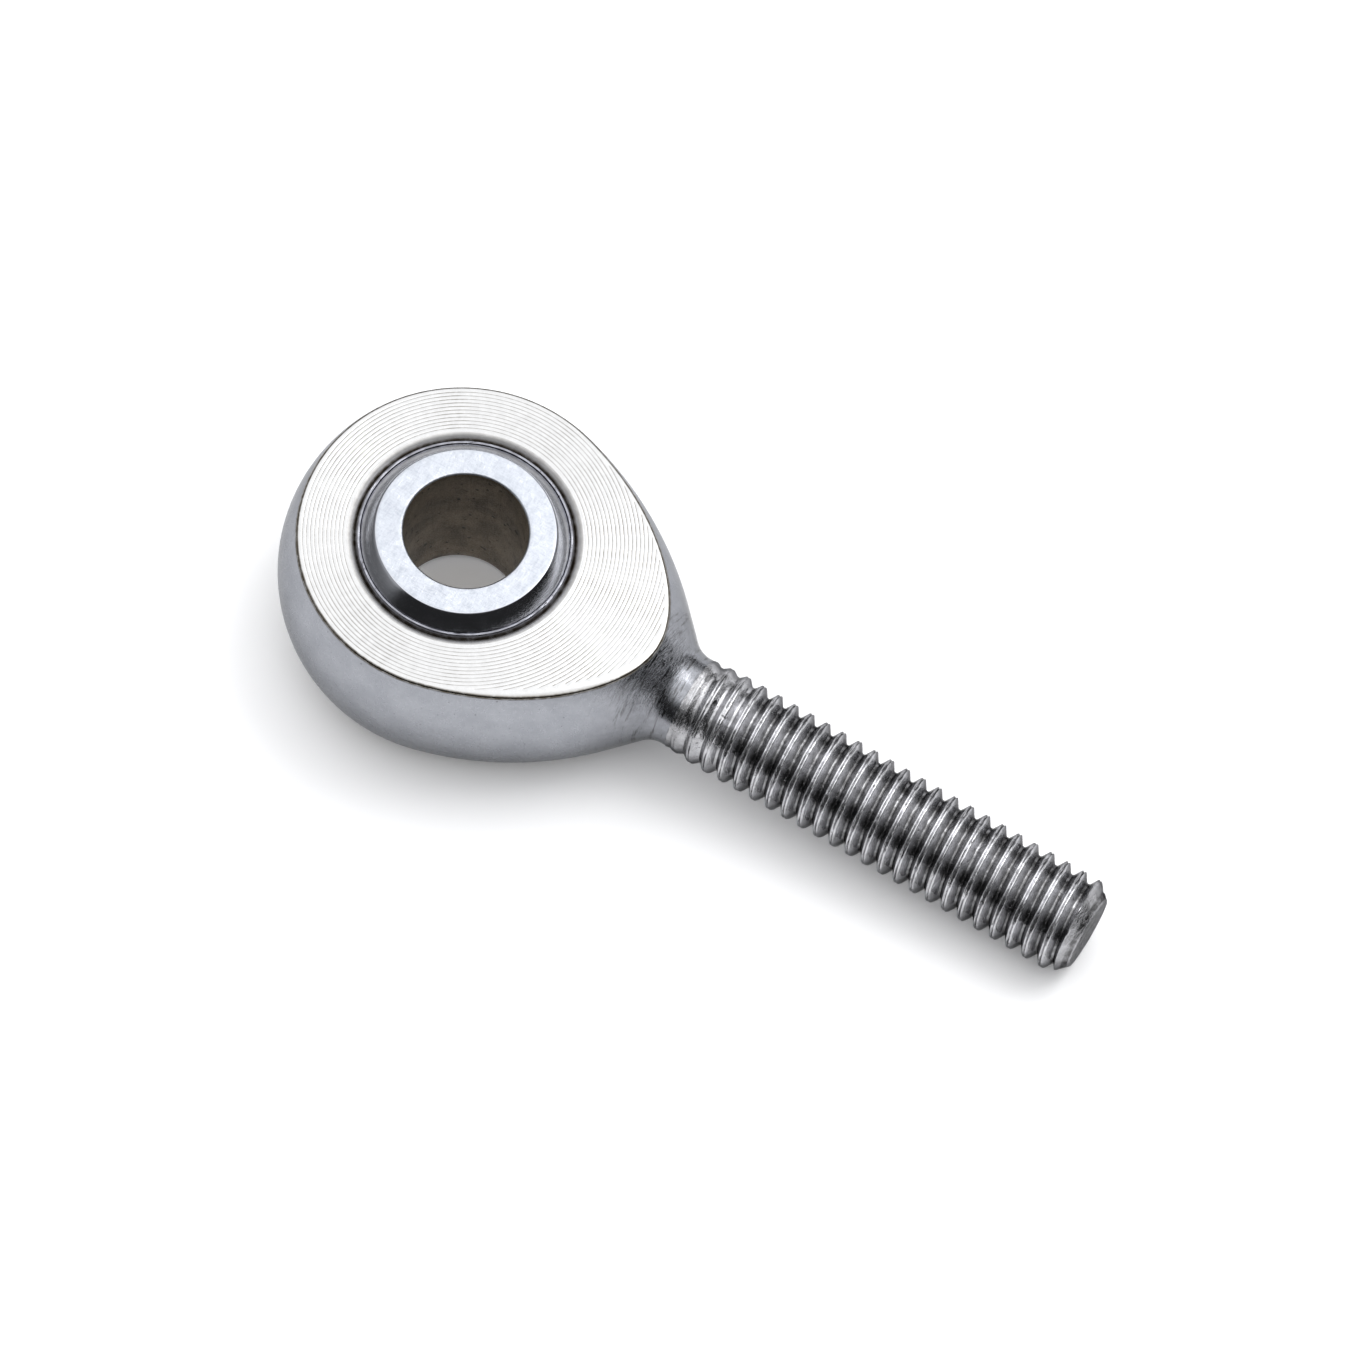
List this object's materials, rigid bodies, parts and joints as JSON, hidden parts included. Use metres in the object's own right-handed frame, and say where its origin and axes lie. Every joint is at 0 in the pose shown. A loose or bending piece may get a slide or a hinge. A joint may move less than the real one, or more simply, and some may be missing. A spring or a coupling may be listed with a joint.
{
  "type": "rod end bearing",
  "caption": "Male-threaded rod end: round eye with a swivelling bored ball held in a staked race, on a straight threaded shank.",
  "frame": {"origin": "centre of the ball, on the axis of its bore and of the shank", "axes": "+Z along the ball's bore, +X out along the shank to its threaded end"},
  "size_m": [0.0697, 0.0282, 0.0142],
  "materials": {
    "body": "zinc-plated steel with turned faces and a rolled thread",
    "race": "turned steel, staked at both edges",
    "ball": "chrome-plated sphere with ground flat faces"
  },
  "bodies": {
    "body": {"rod_end_body": "body"},
    "race": {"race": "race"},
    "ball": {"ball": "ball"}
  },
  "joints": [
    {"name": "ball_swivel", "type": "hinge", "parent": "body", "child": "race", "pos_m": [0, 0, 0], "axis": [0, 0, 1], "continuous": true},
    {"name": "ball_tilt", "type": "hinge", "parent": "race", "child": "ball", "pos_m": [0, 0, 0], "axis": [0, 1, 0], "range_deg": [-9, 9]}
  ]
}
